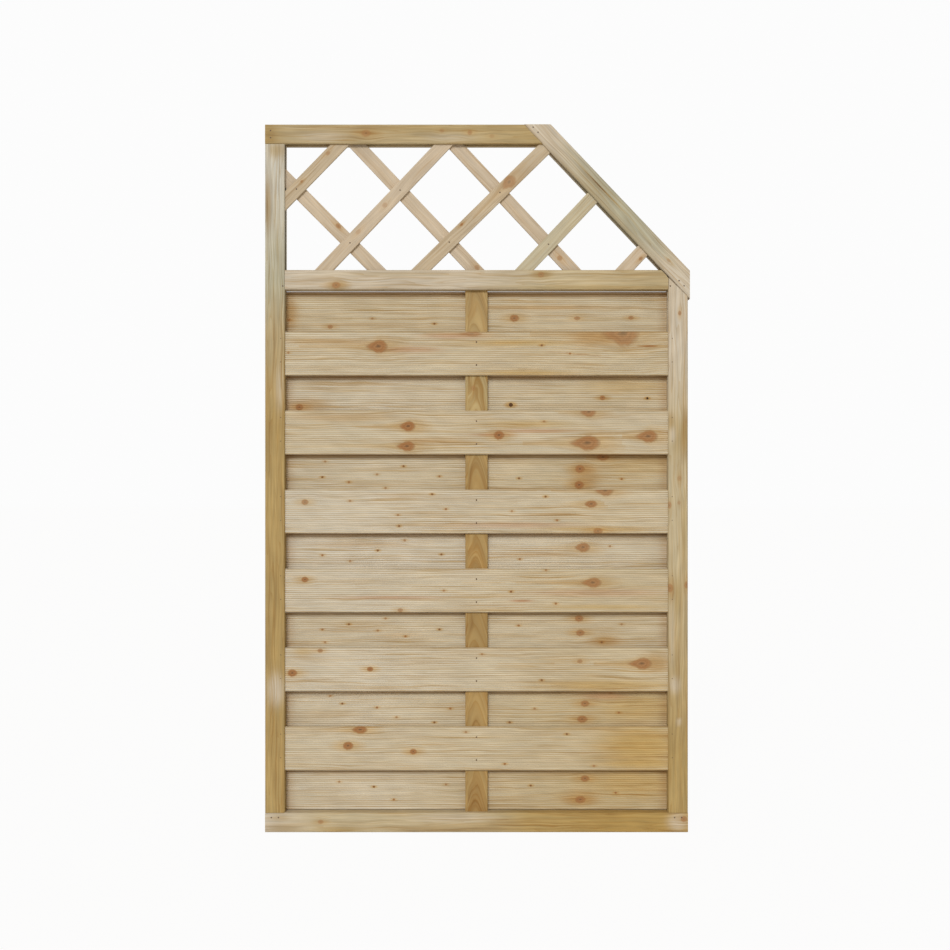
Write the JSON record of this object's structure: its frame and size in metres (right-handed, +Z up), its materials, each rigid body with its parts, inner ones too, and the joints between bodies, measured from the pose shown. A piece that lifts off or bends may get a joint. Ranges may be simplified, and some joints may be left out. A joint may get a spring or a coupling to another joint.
{
  "type": "privacy fence panel",
  "caption": "Wooden privacy fence end panel: grooved slats laid alternately front and back in a frame, with a diagonal lattice above and one sloped top corner.",
  "frame": {"origin": "middle of the bottom rail's underside, on the panel's mid-plane", "axes": "+X along the panel towards the sloped corner, +Y through it towards the back, +Z up"},
  "size_m": [1.08, 0.05, 1.8],
  "materials": {
    "frame_wood": "planed, impregnated",
    "slat_wood": "fine grooved, impregnated",
    "lath_wood": "planed, impregnated",
    "batten_wood": "planed, impregnated",
    "nail_steel": "dull"
  },
  "bodies": {
    "root": {"back_lath_1": "lath_wood", "back_lath_2": "lath_wood", "back_lath_3": "lath_wood", "back_slat_1": "slat_wood", "back_slat_2": "slat_wood", "back_slat_3": "slat_wood", "back_slat_4": "slat_wood", "back_slat_5": "slat_wood", "back_slat_6": "slat_wood", "back_slat_7": "slat_wood", "back_slat_nails": "nail_steel", "bottom_rail": "frame_wood", "centre_batten": "batten_wood", "frame_nails": "nail_steel", "front_lath_1": "lath_wood", "front_lath_2": "lath_wood", "front_lath_3": "lath_wood", "front_lath_4": "lath_wood", "front_lath_5": "lath_wood", "front_slat_1": "slat_wood", "front_slat_2": "slat_wood", "front_slat_3": "slat_wood", "front_slat_4": "slat_wood", "front_slat_5": "slat_wood", "front_slat_6": "slat_wood", "front_slat_nails": "nail_steel", "lattice_nails": "nail_steel", "left_stile": "frame_wood", "mid_rail": "frame_wood", "right_stile": "frame_wood", "sloped_rail": "frame_wood", "top_rail": "frame_wood"}
  },
  "joints": []
}
